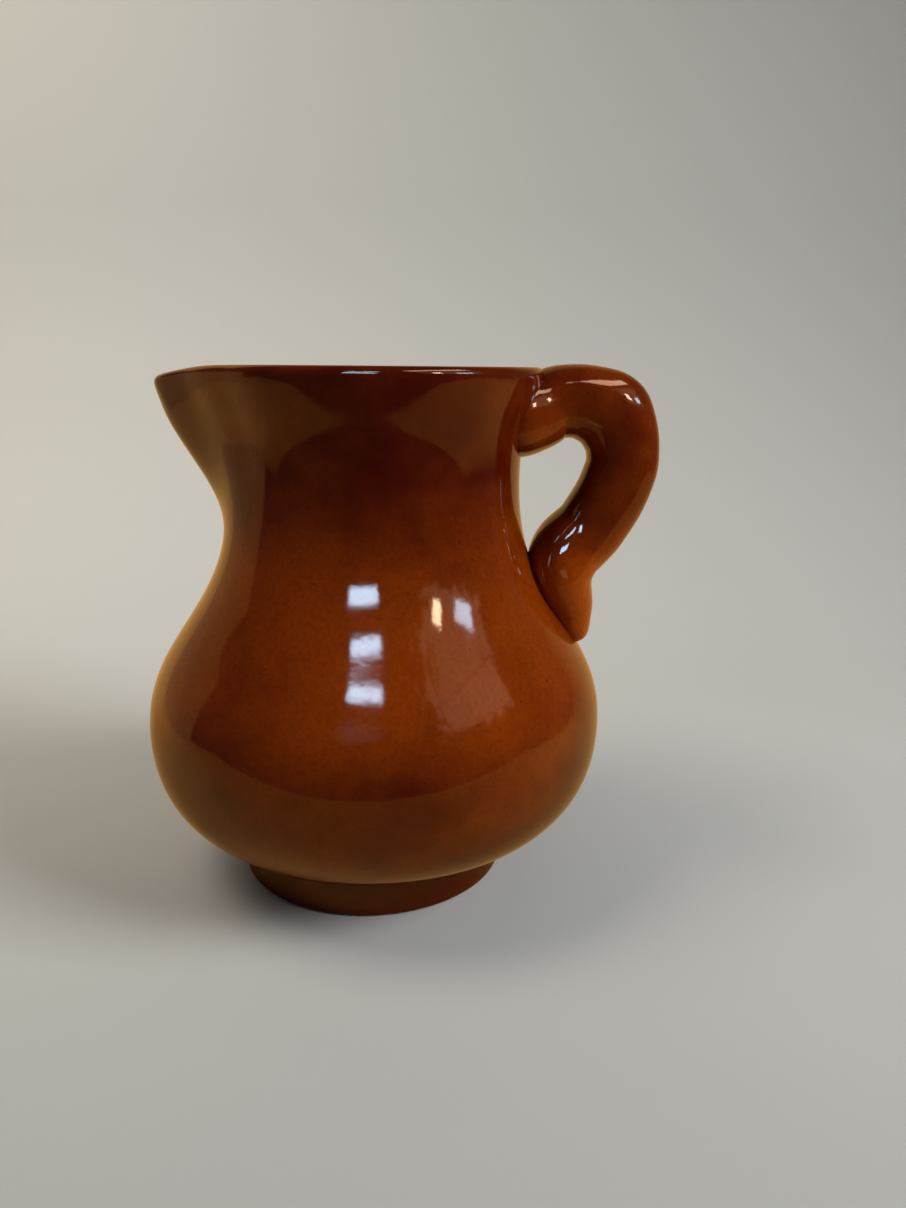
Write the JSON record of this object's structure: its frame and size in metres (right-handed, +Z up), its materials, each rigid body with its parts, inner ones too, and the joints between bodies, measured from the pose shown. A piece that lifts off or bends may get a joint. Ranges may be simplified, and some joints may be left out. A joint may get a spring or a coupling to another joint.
{
  "type": "ceramic pitcher",
  "caption": "Small glazed earthenware pitcher with a pear-shaped body, waisted neck, pulled pouring spout, foot ring and round strap handle.",
  "frame": {"origin": "middle of the bounding box, at its base; the body's throwing axis stands 6.7 mm towards the spout from it", "axes": "+Z up through the mouth, +X towards the handle, -X towards the pouring spout, +Y to the left of someone who looks from the spout to the handle"},
  "size_m": [0.1392, 0.1258, 0.1408],
  "materials": {
    "body_glaze": "glossy honey-brown transparent glaze over red earthenware, darker towards the neck",
    "foot_glaze": "glossy red-brown glaze, thin and dark at the base edge",
    "handle_glaze": "glossy red-brown glaze with fine pulled ridges"
  },
  "bodies": {
    "root": {"body": "body_glaze", "foot_ring": "foot_glaze", "handle": "handle_glaze", "upper_joint_clay": "handle_glaze", "lower_joint_clay": "handle_glaze"}
  },
  "joints": []
}
